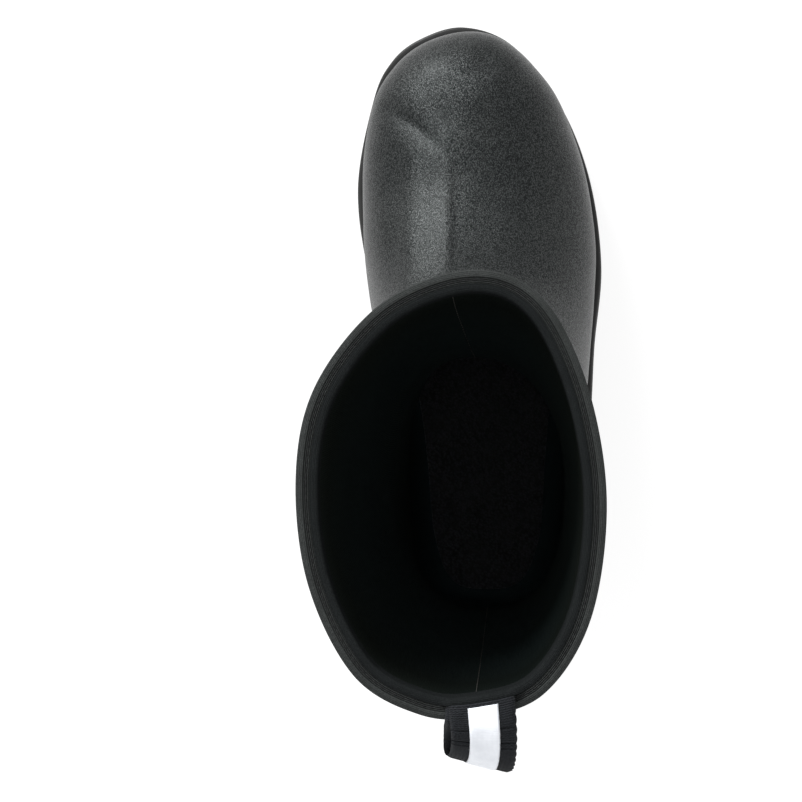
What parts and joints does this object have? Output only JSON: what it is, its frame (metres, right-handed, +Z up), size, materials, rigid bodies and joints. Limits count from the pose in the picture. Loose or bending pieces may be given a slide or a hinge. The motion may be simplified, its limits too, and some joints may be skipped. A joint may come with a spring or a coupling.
{
  "type": "neoprene and rubber stable boot",
  "caption": "Calf-high waterproof stable boot: neoprene shaft and bootie in a rubber shell, lugged sole, knit topline and pull loop.",
  "frame": {"origin": "middle of the boot in plan, on the ground plane under the lugs", "axes": "+Z up the shaft; -Y towards the toe; +X towards the inner (big toe) side of this right boot"},
  "size_m": [0.1184, 0.3106, 0.3208],
  "materials": {
    "sole_rubber": "matt moulded rubber, fine grain",
    "shell_rubber": "satin rubber with a pebble grain",
    "foam": "matt foam",
    "steel": "plain rolled strip",
    "board": "matt fibre board",
    "stiffener": "matt thermoplastic sheet",
    "neoprene": "knit-faced neoprene",
    "lining": "smooth warp-knit lining",
    "knit": "ribbed elastic knit",
    "webbing": "ribbed woven webbing",
    "white_tape": "smooth tight-woven tape",
    "footbed_fabric": "brushed knit"
  },
  "bodies": {
    "foot": {"outsole": "sole_rubber", "foxing_band": "shell_rubber", "midsole": "foam", "shank": "steel", "insole_board": "board", "rubber_shell": "shell_rubber", "toe_puff": "stiffener", "heel_counter": "stiffener", "bootie_foot": "neoprene", "foot_lining": "lining", "ankle_gusset": "neoprene"},
    "shaft": {"shaft_inner_panel": "neoprene", "shaft_outer_panel": "neoprene", "shaft_lining": "lining", "front_seam_tape": "shell_rubber", "rear_seam_tape": "shell_rubber", "collar_tape": "knit", "collar_facing": "lining"},
    "pull_loop": {"loop_webbing": "webbing", "loop_stripe": "white_tape"},
    "footbed": {"footbed_foam": "foam", "footbed_cover": "footbed_fabric"}
  },
  "joints": [
    {"name": "ankle_flex", "type": "hinge", "parent": "foot", "child": "shaft", "pos_m": [0, 0.05794, 0.16], "axis": [1, 0, 0], "range_deg": [-8, 18], "stiffness_Nm_per_rad": 3, "deforming": ["ankle_gusset"]},
    {"name": "pull_loop_swing", "type": "hinge", "parent": "shaft", "child": "pull_loop", "pos_m": [-0.0039, 0.1283, 0.31845], "axis": [0.9825, 0.1862, 0], "range_deg": [0, 70]},
    {"name": "footbed_lift", "type": "hinge", "parent": "foot", "child": "footbed", "pos_m": [0.0035, -0.1381, 0.031], "axis": [1, 0, 0], "range_deg": [0, 8]}
  ]
}
